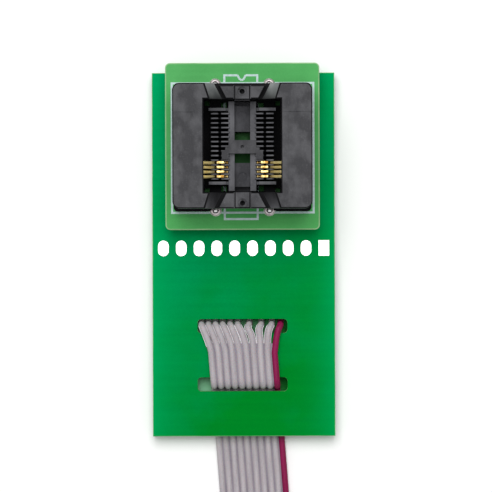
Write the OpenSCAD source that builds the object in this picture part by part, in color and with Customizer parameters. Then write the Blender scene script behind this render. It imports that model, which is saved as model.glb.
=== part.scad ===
// Open-top chip test socket on a plug-in adapter board, carried by a small
// ribbon-cable board. It lies flat: +Z is up, the cable leaves towards -Y,
// and the origin is at the bottom centre of the boards, on the table.

/* [Cable board] */
// Width of the cable board
board_w = 26; // [24:0.5:40]
// Length of the cable board
board_l = 51.8; // [50:0.2:80]
// Thickness of both circuit boards
board_t = 1.6; // [1.2:0.1:2]
// Length of the header tails under the cable board, which it stands on
tail_len = 1.0; // [0.95:0.05:2]

/* [Wire pads] */
// Number of wires and of wire pads
wire_count = 10; // [10]
// Width of a wire pad
pad_w = 1.5; // [1.2:0.1:1.8]
// Length of a wire pad
pad_l = 2.2; // [1.8:0.1:3]
// Distance of the pad row from the nearest header pins
pad_row_gap = 5.36; // [5.2:0.02:6]
// Diameter of the wire holes in the pads
pad_hole_d = 0.9; // [0.7:0.05:1.1]

/* [Strap slots] */
// Width of the two slots that the ribbon is threaded through
slot_w = 12.8; // [12.6:0.1:18]
// Height of each slot
slot_h = 2.0; // [1.9:0.1:2.4]
// Distance of the lower slot from the cable end of the board
slot_from_end = 7.4; // [7:0.1:9]
// Distance between the two slots, centre to centre
slot_pitch = 8.3; // [8:0.1:9]

/* [Adapter board] */
// Width of the adapter board
adapter_w = 21.8; // [21:0.1:25]
// Length of the adapter board
adapter_l = 23.6; // [21.5:0.1:26]
// Corner radius of the adapter board
adapter_corner_r = 0.7; // [0.2:0.1:1.5]
// How far the adapter board reaches past the end of the cable board
adapter_overhang = 1.2; // [0.4:0.1:2]

/* [Pin header] */
// Pitch of the header pins and of the wire pads
pin_pitch = 2.54; // [2.54]
// Pins in each header row
pins_per_row = 8; // [4:1:8]
// Distance between the two header rows
row_spacing = 7.62; // [7.62]
// Side of a square header pin
pin_side = 0.6; // [0.5:0.02:0.64]
// Diameter of the header holes in both boards
pin_hole_d = 1.0; // [0.95:0.05:1.1]
// Height of the plastic spacer between the boards
spacer_h = 2.54; // [2:0.1:4]
// Width of the plastic spacer
spacer_w = 2.5; // [2:0.1:3]

/* [Socket base] */
// Width of the base plate
base_w = 19.4; // [19:0.1:19.4]
// Length of the base plate under the wings
base_l = 18.1; // [17.6:0.1:19]
// Thickness of the base plate
base_t = 1.3; // [1.2:0.1:1.6]
// Height of the ledge that the chip's body rests on, above the adapter board
seat_h = 4.9; // [4.7:0.1:5.1]
// Width across the two chip rails
rail_span = 3.86; // [3.6:0.05:3.9]
// Width of the channel between the rails
channel_w = 2.18; // [1.8:0.05:2.4]
// Depth of the channel between the rails
channel_depth = 0.9; // [0.6:0.1:1.4]
// Length of the window in the channel, down to the adapter board
sight_l = 4.36; // [3.6:0.1:5]

/* [Contacts] */
// Pitch of the contacts
contact_pitch = 0.65; // [0.65]
// Contact places on each side
contact_places = 14; // [14]
// Contacts fitted on each side, at the cable end
contact_count = 4; // [2:1:4]
// Thickness of the contact strip
strip_t = 0.3; // [0.2:0.02:0.32]
// Thickness of the ribs between the contacts
rib_t = 0.22; // [0.16:0.02:0.24]
// Length of the contact tails under the adapter board
contact_tail = 0.8; // [0.5:0.1:0.9]

/* [Socket cover] */
// Width of the cover
cover_w = 19.44; // [19.2:0.02:19.5]
// Length of the cover
cover_l = 17.4; // [17.2:0.1:17.6]
// Height of the top of the raised cover above the adapter board
cover_top = 8.6; // [8.6:0.1:9.4]
// Travel of the cover from raised to pressed
cover_travel = 2.2; // [1.6:0.1:2.2]
// Width of the window in the cover
window_w = 10.8; // [10.4:0.1:11]
// Length of the window in the cover
window_l = 13.0; // [12.8:0.1:13.2]
// Thickness of the cover's side walls
cover_wall = 1.0; // [0.8:0.1:1.1]
// Radius of the guide holes in the end posts
guide_hole_r = 0.36; // [0.25:0.01:0.5]
// Depth of the guide holes
guide_hole_depth = 2.4; // [1:0.1:3]

/* [Return springs] */
// Outer diameter of a return spring
spring_d = 1.9; // [1.7:0.05:2]
// Diameter of the spring wire
spring_wire = 0.25; // [0.2:0.01:0.3]
// Turns of a return spring
spring_turns = 7; // [5:1:9]

/* [Ribbon] */
// Diameter of one insulated wire of the ribbon
wire_d = 0.9; // [0.8:0.02:0.9]
// Pitch of the wires in the ribbon
wire_pitch = 1.0; // [0.95:0.01:1]

/* [Cable plug] */
// Pitch of the plug's contacts
plug_pitch = 2.0; // [2]
// Length of the plug across the ribbon
plug_w = 13; // [12.6:0.1:15]
// Width of the plug along the ribbon
plug_l = 5; // [4.6:0.1:6]
// Height of the plug body above the ribbon
plug_body_h = 4.8; // [4:0.1:6]
// Thickness of the cap under the ribbon
plug_cap_t = 1.3; // [1:0.1:2]

/* [Hidden] */
$fn = 48;

board_green = [0.00, 0.50, 0.24];
adapter_green = [0.33, 0.66, 0.36];
tin = [0.86, 0.87, 0.88];
black_plastic = [0.26, 0.26, 0.28];
dark_plastic = [0.12, 0.12, 0.13];
gold = [0.85, 0.70, 0.38];
steel = [0.72, 0.73, 0.75];
ribbon_grey = [0.70, 0.68, 0.69];
ribbon_red = [0.58, 0.04, 0.22];

eps = 0.01;
fit = 0.02;                 // close fit of a fixed piece in its hole
guide_clearance = 0.1;      // running clearance of the cover on the base

// Heights
board_top = tail_len + board_t;
adapter_under = board_top + spacer_h;
adapter_top = adapter_under + board_t;

// Places in plan
frame_y = -adapter_overhang / 2;
board_south = frame_y - board_l / 2;
board_north = frame_y + board_l / 2;
lower_slot_y = board_south + slot_from_end;
upper_slot_y = lower_slot_y + slot_pitch;
slot_x = -0.2;
slot_corner_r = 0.55;
adapter_x = -0.12;
adapter_y = board_north + adapter_overhang - adapter_l / 2;
socket_shift_y = -0.15;
socket_x = adapter_x;
socket_y = adapter_y + socket_shift_y;
header_y = socket_y;
pad_y = header_y - (pins_per_row - 1) / 2 * pin_pitch - pad_row_gap;
pin_stickout = 0.5;         // header pin above the adapter board
pin_solder_r = 0.85;
pin_solder_h = 0.55;

// Socket heights, above the adapter board
rib_top = seat_h + 0.25;
rib_trench = seat_h - 0.9;
comb_inner_x = rail_span / 2 - 0.3;
roof_t = 1.15;
roof_under = cover_top - roof_t;
skirt_under = base_t + cover_travel + guide_clearance;
post_drop = 0.25;           // end post below the wings
valley_depth = 1.6;

// Contact profile, in the plane across the socket
pivot_x = 3.8;
pivot_z = seat_h - 1.6;
hub_r = 0.3;
hub_gap = 0.06;
seat_inner_x = rail_span / 2 + 0.05;
seat_outer_x = 3.3;
seat_top = seat_h - 0.02;
seat_thick = 0.4;
nose_x = 2.5;
nose_z = seat_h + 0.08;
head_top = seat_h + 0.62;
head_outer_x = 3.7;
lever_end_x = 6.55;
lever_end_r = 0.22;
lever_end_z = roof_under - 0.47;
foot_t = 0.4;
tail_w = 0.36;
tail_hole_d = 0.6;
tail_rows = [5.9, 7.2];     // the tails stand in two staggered rows

// Springs
spring_x = 7.6;
spring_y = 6.7;
spring_seat_r = spring_d / 2 - spring_wire - 0.15;
spring_low = base_t;
spring_high = roof_under;

// Latches that hold the cover on the base
latch_x = 8.0;
latch_w = 2.0;
barb_top = roof_under - cover_travel - 0.25;
barb_h = 0.6;

// Base pegs
peg_r = 0.55;
peg_x = 8.6;
peg_y = 5.5;

// Ribbon
wire_r = wire_d / 2;
ribbon_run_z = wire_r;
ribbon_bridge_z = board_top + wire_r + 0.1;
ribbon_exit = [0.4, lower_slot_y - 2.4];
ribbon_drift = 0.08;        // sideways drift of the ribbon along its run
slot_gap = 0.3;             // wire to slot edge where the ribbon dips through
dip_r = 0.75;               // bend of the wires under the board
crest_r = 1.6;              // bend of the wires over the slot edges
up_y = upper_slot_y + slot_h / 2 - slot_gap - wire_r;
down_y = lower_slot_y - slot_h / 2 + slot_gap + wire_r;
merge_y = upper_slot_y - slot_h / 2 - 1.8;
fan_end_y = pad_y - 0.46 * (pad_y - up_y);
fan_x = [-6.05, -5.1, -4.15, -3.2, -2.25, -1.3, 1.35, 3.15, 4.5, 5.6];
pad_wire_end = 1.25;        // insulation stops this far from its pad
core_r = 0.18;
// Free stretch of the ribbon as [x, y from the exit, share of its rise onto the plug cap]
lead_points = [
    [0.4, 0, 0], [1.0, -7.5, 0], [1.6, -15.5, 0], [2.3, -23.5, 0], [2.9, -31.5, 0],
    [3.5, -39.5, 0], [4.0, -47.5, 0], [4.4, -55.5, 0], [4.8, -63.5, 0], [5.1, -71.5, 0],
    [5.3, -79.5, 0], [5.4, -87.5, 0], [5.5, -95.5, 0], [5.5, -103.5, 0.04],
    [5.5, -110.5, 0.2], [5.5, -116.5, 0.65], [5.5, -121.5, 1], [5.5, -125.5, 1], [5.5, -130, 1]];
lead_route = [for (p = lead_points)
    [p[0], ribbon_exit[1] + p[1], ribbon_run_z + p[2] * plug_cap_t]];
lead_end = lead_route[len(lead_route) - 1];
plug_x = lead_end[0];
plug_y = lead_end[1] + plug_l / 2;
ribbon_flat_t = wire_d;
plug_body_z = plug_cap_t + ribbon_flat_t;

function pad_x(i) = (i - (wire_count - 1) / 2) * pin_pitch;
function ribbon_x(y) = ribbon_exit[0] + ribbon_drift * (ribbon_exit[1] - y);
function wire_x(i, y) = ribbon_x(y) + (i - (wire_count - 1) / 2) * wire_pitch;
function place_y(i) = (i - (contact_places - 1) / 2) * contact_pitch;
function tail_x(i) = tail_rows[i % 2];

// ---------- general shapes ----------

// A rectangle with round corners, centred
module round_rect(w, l, r) {
    square([w - 2 * r, l], center = true);
    square([w, l - 2 * r], center = true);
    for (x = [-1, 1], y = [-1, 1])
        translate([x * (w / 2 - r), y * (l / 2 - r)])
            circle(r);
}

// A slot outline with round ends, centred, long side along X
module slot_outline(w, h) {
    square([w - h, h], center = true);
    for (x = [-1, 1])
        translate([x * (w - h) / 2, 0])
            circle(h / 2);
}

// A block centred in X and Y, from z0 to z1
module block(w, l, z0, z1) {
    translate([-w / 2, -l / 2, z0])
        cube([w, l, z1 - z0]);
}

// A profile drawn across the socket, extruded along Y and centred
module strip(thickness) {
    translate([0, thickness / 2, 0])
        rotate([90, 0, 0])
            linear_extrude(thickness)
                children();
}

module at_socket() {
    translate([socket_x, socket_y, adapter_top])
        children();
}

module for_header_row(side) {
    for (i = [0:pins_per_row - 1])
        translate([adapter_x + side * row_spacing / 2,
                   header_y + (i - (pins_per_row - 1) / 2) * pin_pitch, 0])
            children();
}

// A closed tube of the given cross-section swept along points,
// with every ring upright and at right angles to the heading in the YZ plane
function heading(path, i) =
    let (a = path[max(i - 1, 0)], b = path[min(i + 1, len(path) - 1)], d = b - a)
    d / norm(d);

function ring(at, dir, section) =
    let (side = [1, 0, 0], up = cross(dir, side) / norm(cross(dir, side)))
    [for (p = section) at + p[0] * side + p[1] * up];

// Faces of a tube of n sides whose rings are numbered 0 to last
function tube_faces(n, last) =
    concat(
        [for (i = [0:last - 1], k = [0:n - 1])
            [i * n + k, i * n + (k + 1) % n, (i + 1) * n + (k + 1) % n, (i + 1) * n + k]],
        [[for (k = [n - 1:-1:0]) k], [for (k = [0:n - 1]) last * n + k]]);

module sweep(path, section) {
    last = len(path) - 1;
    points = [for (i = [0:last]) each ring(path[i], heading(path, i), section)];
    polyhedron(points, tube_faces(len(section), last), convexity = 6);
}

function round_section(r, n) =
    [for (k = [0:n - 1]) r / cos(180 / n) * [cos((k + 0.5) * 360 / n), sin((k + 0.5) * 360 / n)]];

// ---------- boards and header ----------

module main_board() {
    color(board_green)
        difference() {
            translate([0, frame_y, tail_len])
                linear_extrude(board_t)
                    square([board_w, board_l], center = true);
            for (y = [lower_slot_y, upper_slot_y])
                translate([slot_x, y, tail_len - eps])
                    linear_extrude(board_t + 2 * eps)
                        round_rect(slot_w, slot_h, slot_corner_r);
            for (i = [0:wire_count - 1])
                translate([pad_x(i), pad_y, tail_len - eps])
                    cylinder(d = pad_hole_d, h = board_t + 2 * eps);
            for (side = [-1, 1])
                for_header_row(side)
                    translate([0, 0, tail_len - eps])
                        cylinder(d = pin_hole_d, h = board_t + 2 * eps);
        }
}

// Soldered wire joints: a flat cap above, a plug in the hole, a dome below
// and the bare end of the wire
module pad_solder() {
    cap_t = 0.18;
    dome_r = 0.75;
    dome_h = 0.7;
    color(tin)
        for (i = [0:wire_count - 1])
            translate([pad_x(i), pad_y, 0]) {
                translate([0, 0, board_top])
                    linear_extrude(cap_t)
                        if (i == wire_count - 1)
                            square([pad_w, pad_l], center = true);
                        else
                            rotate(90)
                                slot_outline(pad_l, pad_w);
                translate([0, 0, tail_len - eps])
                    cylinder(d = pad_hole_d - 2 * fit, h = board_t + 2 * eps);
                translate([0, 0, tail_len - dome_h])
                    cylinder(r1 = dome_r * 0.5, r2 = dome_r, h = dome_h);
                translate([0, 0, ribbon_run_z])
                    rotate([90, 0, 0])
                        cylinder(r = core_r, h = pad_wire_end);
            }
}

module adapter_board() {
    color(adapter_green)
        difference() {
            translate([adapter_x, adapter_y, adapter_under])
                linear_extrude(board_t)
                    round_rect(adapter_w, adapter_l, adapter_corner_r);
            for (side = [-1, 1])
                for_header_row(side)
                    translate([0, 0, adapter_under - eps])
                        cylinder(d = pin_hole_d, h = board_t + 2 * eps);
            at_socket()
                for (side = [-1, 1]) {
                    for (i = [0:contact_count - 1])
                        translate([side * tail_x(i), place_y(i), -board_t - eps])
                            cylinder(d = tail_hole_d, h = board_t + 2 * eps);
                    translate([side * peg_x, side * peg_y, -board_t - eps])
                        cylinder(r = peg_r + fit, h = board_t + 2 * eps);
                }
        }
}

// One strip of the spacer, with a notch between its places
module header_spacer(side) {
    notch = 0.4;
    color(dark_plastic)
        for_header_row(side)
            translate([0, 0, board_top])
                linear_extrude(spacer_h)
                    difference() {
                        polygon([
                            [-spacer_w / 2, -pin_pitch / 2 + notch],
                            [-spacer_w / 2 + notch, -pin_pitch / 2],
                            [spacer_w / 2 - notch, -pin_pitch / 2],
                            [spacer_w / 2, -pin_pitch / 2 + notch],
                            [spacer_w / 2, pin_pitch / 2 - notch],
                            [spacer_w / 2 - notch, pin_pitch / 2],
                            [-spacer_w / 2 + notch, pin_pitch / 2],
                            [-spacer_w / 2, pin_pitch / 2 - notch]]);
                        square(pin_side + 2 * fit, center = true);
                    }
}

module header_pins(side) {
    top = adapter_top + pin_stickout;
    tip = 0.15;
    outline = [
        [-pin_side / 2 + tip, 0], [pin_side / 2 - tip, 0], [pin_side / 2, tip],
        [pin_side / 2, top - tip], [pin_side / 2 - tip, top], [-pin_side / 2 + tip, top],
        [-pin_side / 2, top - tip], [-pin_side / 2, tip]];
    color(tin)
        for_header_row(side)
            intersection() {
                strip(pin_side)
                    polygon(outline);
                rotate(90)
                    strip(pin_side)
                        polygon(outline);
            }
}

// Solder cones round the header pins, under the cable board and on the adapter
module header_solder() {
    bore = pin_side * sqrt(2) / 2 + fit;
    color(tin)
        for (side = [-1, 1])
            for_header_row(side) {
                difference() {
                    translate([0, 0, tail_len - pin_solder_h])
                        cylinder(r1 = bore + 0.12, r2 = pin_solder_r, h = pin_solder_h);
                    cylinder(r = bore, h = tail_len + eps);
                }
                translate([0, 0, adapter_top])
                    difference() {
                        cylinder(r1 = pin_solder_r, r2 = bore + 0.12, h = pin_solder_h - 0.1);
                        translate([0, 0, -eps])
                            cylinder(r = bore, h = pin_solder_h);
                    }
            }
}

// ---------- socket base ----------

// Ribs that part the contacts, on one side of the middle
module comb(side) {
    trench = [2.95, 3.35];
    outer_x = 4.4;
    for (k = [0:contact_places])
        translate([0, (k - contact_places / 2) * contact_pitch, 0])
            mirror([side < 0 ? 1 : 0, 0, 0])
                strip(rib_t)
                    polygon([
                        [comb_inner_x, base_t - eps], [outer_x, base_t - eps],
                        [outer_x, rib_top - 0.1], [outer_x - 0.1, rib_top],
                        [trench[1], rib_top], [trench[1], rib_trench],
                        [trench[0], rib_trench], [trench[0], rib_top],
                        [rail_span / 2 - 0.1, rib_top], [comb_inner_x, seat_h - 0.2]]);
}

module base_plate() {
    middle_w = 9.8;
    middle_l = base_l - 0.9;
    groove_w = 2 * pin_solder_r + 0.2;
    groove_h = pin_solder_h + 0.2;
    difference() {
        linear_extrude(base_t)
            difference() {
                union() {
                    for (side = [-1, 1])
                        translate([side * ((base_w + middle_w) / 4 - 0.3), 0])
                            round_rect((base_w - middle_w) / 2 + 0.6, base_l, 0.6);
                    square([middle_w, middle_l], center = true);
                }
                for (x = [-1, 1], y = [-1, 1]) {
                    translate([x * 2.6, y * 5.85])
                        square([0.8, 0.8], center = true);
                    translate([x * 4.97, y * 6.15])
                        square([0.7, 0.7], center = true);
                }
                for (side = [-1, 1], i = [0:contact_count - 1])
                    translate([side * tail_x(i), place_y(i)])
                        square([tail_w + 2 * fit, strip_t + 2 * fit], center = true);
            }
        for (side = [-1, 1])
            translate([side * row_spacing / 2, 0, 0])
                block(groove_w, middle_l + 1, -eps, groove_h);
    }
}

// The column that carries the chip, with its rails, channel and sight window
module chip_column() {
    column_l = window_l - 0.3 - 2 * guide_clearance;
    channel_z = seat_h - channel_depth;
    difference() {
        block(rail_span, column_l, base_t - eps, seat_h);
        block(channel_w, column_l + 1, channel_z, seat_h + 1);
        for (y = [-1, 1])
            translate([0, y * 4.3, channel_z - 0.1])
                cylinder(r = 0.65, h = 1);
        for (y = [-1, 1])
            translate([0, y * column_l / 2, base_t - 1])
                block(channel_w, 1.2, 1.4, seat_h);
    }
}

module socket_base() {
    end_bar_y = 5.15;
    end_bar_z = rib_top + 0.1;
    color(dark_plastic)
        at_socket()
            difference() {
                union() {
                    base_plate();
                    chip_column();
                    for (side = [-1, 1]) {
                        comb(side);
                        for (y = [-1, 1]) {
                            translate([side * 3.5, y * end_bar_y, 0])
                                block(2.4, 0.44, base_t - eps, end_bar_z);
                            translate([side * 2.2, y * end_bar_y, 0])
                                block(1.2, 0.44, base_t - eps, seat_h - 0.4);
                            translate([side * 3.8, y * 5.95, 0])
                                block(1.5, 0.9, base_t - eps, 3);
                            translate([side * spring_x, y * spring_y, base_t - eps])
                                cylinder(r = spring_seat_r, h = 1.6);
                        }
                        base_latch(side);
                        translate([side * peg_x, side * peg_y, -board_t + 0.3])
                            cylinder(r = peg_r, h = board_t);
                    }
                }
                sight_window();
            }
}

module sight_window() {
    translate([0, -0.14, 0])
        block(channel_w, sight_l, -1, seat_h + 1);
}

// A springy tongue with a barb that stops the cover at the top of its travel
module base_latch(side) {
    tongue_t = 0.6;
    barb = 0.5;
    mirror([side < 0 ? 1 : 0, 0, 0])
        translate([latch_x, 0, 0])
            strip(latch_w)
                polygon([
                    [-tongue_t, base_t - eps], [0, base_t - eps], [0, barb_top - barb_h],
                    [barb, barb_top - barb_h], [barb, barb_top - barb_h + 0.1],
                    [0, barb_top], [-tongue_t, barb_top]]);
}

// The cross-bar with two ears that a short chip stops against
module device_stop() {
    bar_w = 1.86;
    bar_low_w = 2 * (comb_inner_x - fit);
    bar_y = -0.09;
    bar_top = rib_top + 0.3;
    ear_l = 1.2;
    ear_y = -1.24;
    color(black_plastic)
        at_socket()
            difference() {
                union() {
                    translate([0, bar_y, 0])
                        block(channel_w - 2 * fit, bar_w, seat_h - 1.5, bar_top);
                    translate([0, bar_y, 0])
                        block(bar_low_w, bar_w, seat_h, rib_top);
                    translate([0, bar_y, 0])
                        block(rail_span, bar_w, rib_top - eps, bar_top);
                    for (side = [-1, 1]) {
                        translate([side * 2.4, ear_y, 0])
                            block(0.96, ear_l, rib_top, bar_top);
                        translate([side * 2.1, bar_y - 0.5, 0])
                            block(0.6, bar_w - 1, rib_top, bar_top);
                    }
                }
                translate([0, bar_y, bar_top - 0.6])
                    cylinder(r = 0.25, h = 1);
            }
}

// ---------- socket cover ----------

// Plan of one valley between a wing and an end post, in the first quarter
wing_line = [[4.57, 6.4], [5.33, 8.8]];
post_line = [[2.25, 6.4], [3.5, 8.8]];

module cover_valley() {
    hull() {
        translate([0, 0, cover_top])
            linear_extrude(1)
                polygon([wing_line[0], wing_line[1], post_line[1], post_line[0]]);
        translate([0, 0, cover_top - valley_depth])
            linear_extrude(eps)
                polygon([post_line[0] + [0.5, 0], post_line[1] + [0.5, 0],
                         post_line[1], post_line[0]]);
    }
}

module cover_shell() {
    inner_w = cover_w - 2 * cover_wall;
    inner_l = cover_l - 1.6;
    ledge_top = barb_top - barb_h - 0.05;
    ledge_h = ledge_top - skirt_under;
    difference() {
        translate([0, 0, skirt_under])
            linear_extrude(cover_top - skirt_under)
                difference() {
                    round_rect(cover_w, cover_l, 1);
                    square([window_w, window_l], center = true);
                }
        for (side = [-1, 1])
            translate([side * (window_w + inner_w - 0.2) / 4, 0, 0])
                block((inner_w - window_w) / 2 + 0.1, inner_l, skirt_under - eps, roof_under);
    }
    for (side = [-1, 1])
        translate([side * (cover_w / 2 - cover_wall - 0.2), 0, 0])
            block(0.5, latch_w + 1.4, ledge_top - ledge_h, ledge_top);
}

module socket_cover() {
    post_y = (window_l / 2 + cover_l / 2) / 2 + 0.17;
    boss_w = 2.2;
    hole_inset = [0.72, 1.2];   // near and far hole to the cover's edge
    far_step = 0.35;            // far post behind the wings' edge
    post_top = cover_top - post_drop;
    dish_r = 0.65;
    dish_deep = 0.15;
    plate_l = 9.35;
    plate_deep = 0.12;
    plate_w = [1.3, 1.8];
    plate_inset = [2.12, 2.47];
    function hole_at(y) = y * (cover_l / 2 - hole_inset[y < 0 ? 0 : 1]);
    color(black_plastic)
        at_socket()
            difference() {
                union() {
                    cover_shell();
                    for (y = [-1, 1])
                        translate([0, y * (window_l / 2 + 0.4), 0])
                            block(boss_w, 1.1, skirt_under, post_top);
                }
                for (x = [0, 1], y = [0, 1])
                    mirror([x, 0, 0])
                        mirror([0, y, 0])
                            cover_valley();
                for (y = [-1, 1]) {
                    translate([0, y * (cover_l / 2 - 0.5), post_top])
                        block(7.4, 4.4, 0, 1);
                    for (x = [-1, 1])
                        translate([x * (boss_w / 2 + 0.06), y * post_y, post_top - dish_deep])
                            block(0.12, 4, 0, 1);
                    translate([0, hole_at(y), post_top - guide_hole_depth])
                        cylinder(r = guide_hole_r, h = guide_hole_depth + 1);
                    translate([0, hole_at(y), post_top - dish_deep])
                        cylinder(r = dish_r, h = 1);
                    translate([0, y * post_y, skirt_under - eps])
                        block(5, 1.1, 0, 1.6);
                }
                translate([0, cover_l / 2, cover_top - valley_depth])
                    block(2 * post_line[1][0], 2 * far_step, 0, valley_depth + 1);
                for (k = [0, 1])
                    translate([(2 * k - 1) * (cover_w / 2 - plate_inset[k]), 0, cover_top - plate_deep])
                        block(plate_w[k], plate_l, 0, 1);
                for (side = [-1, 1])
                    translate([side * (cover_w + window_w) / 4, 0, cover_top - plate_deep / 2])
                        block((cover_w - window_w) / 2 + 1, plate_l + 0.04, 0, 1);
            }
}

// A coil spring standing on a round seat of the base, under the cover's roof
module return_spring(i) {
    x = i % 2 == 0 ? 1 : -1;
    y = i < 2 ? 1 : -1;
    per_turn = 12;
    steps = spring_turns * per_turn;
    coil_r = (spring_d - spring_wire) / 2;
    low = spring_low + spring_wire / 2 + fit;
    rise = spring_high - spring_low - spring_wire - 2 * fit;
    n = 6;
    points = [for (s = [0:steps], k = [0:n - 1])
        let (a = s * 360 / per_turn, b = k * 360 / n,
             r = coil_r + spring_wire / 2 * cos(b))
        [r * cos(a), r * sin(a), low + rise * s / steps + spring_wire / 2 * sin(b)]];
    color(steel)
        at_socket()
            translate([x * spring_x, y * spring_y, 0])
                polyhedron(points, tube_faces(n, steps), convexity = 8);
}

// ---------- contacts ----------

// The fixed half: lead seat, cup for the moving half, foot and board tail
module seat_profile(out_x) {
    post_w = 0.36;
    post_x = 2.8;
    foot_z = base_t;
    seat_low = seat_top - 0.3;  // under the nose of the moving half
    polygon([[seat_inner_x, seat_low - seat_thick], [seat_outer_x, seat_low - seat_thick],
             [seat_outer_x, seat_low], [seat_inner_x + 0.4, seat_low],
             [seat_inner_x + 0.3, seat_top - 0.06], [seat_inner_x + 0.2, seat_top],
             [seat_inner_x, seat_top - 0.1]]);
    translate([post_x - post_w / 2, foot_z])
        square([post_w, seat_low - foot_z - 0.1]);
    translate([pivot_x, pivot_z])
        difference() {
            circle(hub_r + hub_gap + 0.26);
            circle(hub_r + hub_gap);
            translate([-2, -0.12])
                square([4, 2]);
        }
    translate([pivot_x - post_w / 2, foot_z])
        square([post_w, pivot_z - hub_r - hub_gap - foot_z - 0.1]);
    translate([post_x - post_w / 2, foot_z])
        square([out_x + tail_w / 2 - post_x + post_w / 2, foot_t]);
    translate([out_x - tail_w / 2, -board_t - contact_tail])
        square([tail_w, foot_z + foot_t + board_t + contact_tail]);
}

// The moving half: nose and head over the lead seat, neck, hub and lever
module arm_profile() {
    neck = 0.22;
    polygon([
        [nose_x, nose_z], [nose_x + 0.22, nose_z], [nose_x + 0.45, nose_z + 0.18],
        [3.42, nose_z + 0.18], [pivot_x - neck, nose_z], [pivot_x - neck, pivot_z],
        [pivot_x + neck, pivot_z], [pivot_x + neck, seat_h - 0.15],
        [lever_end_x + 0.14, lever_end_z - 0.18], [lever_end_x - 0.15, lever_end_z + 0.16],
        [pivot_x + 0.12, seat_h + 0.35], [pivot_x, seat_h + 0.15],
        [head_outer_x, head_top - 0.07], [head_outer_x - 0.1, head_top],
        [nose_x + 0.12, head_top], [nose_x, head_top - 0.12]]);
    translate([pivot_x, pivot_z])
        circle(hub_r);
    translate([lever_end_x, lever_end_z])
        circle(lever_end_r);
}

module contact_place(side, i) {
    at_socket()
        translate([0, place_y(i), 0])
            mirror([side < 0 ? 1 : 0, 0, 0])
                strip(strip_t)
                    children();
}

module contact_seat(side, i) {
    color(gold)
        contact_place(side, i)
            seat_profile(tail_x(i));
}

module contact_arm(side, i) {
    color(gold)
        contact_place(side, i)
            arm_profile();
}

// ---------- ribbon and plug ----------

// Rise and fall of the ribbon, as [y, z], from the pads up to the merge line
function fan_profile() =
    concat(
        [[pad_y - pad_wire_end, ribbon_run_z], [fan_end_y, ribbon_run_z], [up_y + dip_r, ribbon_run_z]],
        [for (a = [30:30:60]) [up_y + dip_r - dip_r * sin(a), ribbon_run_z + dip_r - dip_r * cos(a)]],
        [[up_y, ribbon_run_z + dip_r]],
        [for (a = [0:22.5:90]) [up_y - crest_r + crest_r * cos(a),
                                ribbon_bridge_z - crest_r + crest_r * sin(a)]],
        [[merge_y, ribbon_bridge_z]]);

// The same from the merge line over the bridge and down to the exit
function strap_profile() =
    concat(
        [[merge_y, ribbon_bridge_z]],
        [for (a = [90:-22.5:0]) [down_y + crest_r - crest_r * cos(a),
                                 ribbon_bridge_z - crest_r + crest_r * sin(a)]],
        [[down_y, ribbon_run_z + dip_r]],
        [for (a = [30:30:60]) [down_y - dip_r + dip_r * cos(a),
                               ribbon_run_z + dip_r - dip_r * sin(a)]],
        [[down_y - dip_r, ribbon_run_z], [ribbon_exit[1], ribbon_run_z]]);

// Sideways place of wire i: spread at the pads, fanned in the upper slot,
// side by side from the merge line on
function wire_side(i, y) =
    let (x5 = pad_x(i) + (fan_x[i] - pad_x(i)) * 0.45)
    y > fan_end_y ? pad_x(i) + (x5 - pad_x(i)) * (pad_y - pad_wire_end - y)
        / (pad_y - pad_wire_end - fan_end_y)
    : y > up_y ? x5 + (fan_x[i] - x5) * min(1, (fan_end_y - y) / (fan_end_y - up_y - dip_r))
    : y > merge_y ? let (s = (up_y - y) / (up_y - merge_y))
        fan_x[i] + (wire_x(i, merge_y) - fan_x[i]) * s * s * (3 - 2 * s)
    : wire_x(i, y);

// Half width of a wire: round where it is apart, and up to its neighbour's
// edge from the merge line on, where the wires are joined
function wire_half(y) = y > merge_y + eps ? wire_r : wire_pitch / 2 - eps;

module ribbon_wire(i) {
    strap = strap_profile();
    profile = concat(fan_profile(), [for (k = [1:len(strap) - 1]) strap[k]]);
    n = 8;
    path = [for (p = profile) [wire_side(i, p[0]), p[0], p[1]]];
    last = len(path) - 1;
    points = [for (k = [0:last])
        each ring(path[k], heading(path, k),
                  [for (q = round_section(wire_r, n)) [q[0] * wire_half(path[k][1]) / wire_r, q[1]]])];
    polyhedron(points, tube_faces(n, last), convexity = 6);
}

module ribbon_grey_wires() {
    color(ribbon_grey)
        for (i = [0:wire_count - 2])
            ribbon_wire(i);
}

module ribbon_red_wire() {
    color(ribbon_red)
        ribbon_wire(wire_count - 1);
}

module ribbon_lead() {
    half_w = wire_count * wire_pitch / 2 - 0.05;
    half_t = ribbon_flat_t / 2;
    edge = 0.3;
    section = [
        [half_w, -half_t + edge], [half_w, half_t - edge], [half_w - edge, half_t],
        [-half_w + edge, half_t], [-half_w, half_t - edge], [-half_w, -half_t + edge],
        [-half_w + edge, -half_t], [half_w - edge, -half_t]];
    color(ribbon_grey)
        sweep(lead_route, section);
}

module for_plug_contact() {
    for (i = [0:wire_count / 2 - 1], row = [-1, 1])
        translate([(i - (wire_count / 2 - 1) / 2) * plug_pitch, row * plug_pitch / 2, plug_body_z])
            children();
}

module plug_body() {
    key_w = 3;
    key_d = 0.6;
    color(dark_plastic)
        translate([plug_x, plug_y, 0])
            difference() {
                union() {
                    block(plug_w - 1, plug_l, plug_body_z, plug_body_z + plug_body_h);
                    translate([0, -plug_l / 2 - key_d / 2 + 0.1, 0])
                        block(key_w, key_d, plug_body_z + 0.8, plug_body_z + plug_body_h - 0.3);
                }
                for_plug_contact()
                    block(1, 1, -eps, plug_body_h + eps);
            }
}

// The cap under the ribbon, with an ear up each end of the body
module plug_cap() {
    ear_t = 0.48;
    ear_h = 2.4;
    color(dark_plastic)
        translate([plug_x, plug_y, 0]) {
            block(plug_w, plug_l, 0, plug_cap_t);
            for (side = [-1, 1])
                translate([side * (plug_w - ear_t) / 2, 0, 0])
                    block(ear_t, plug_l - 1.4, plug_cap_t - eps, plug_body_z + ear_h);
        }
}

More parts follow.
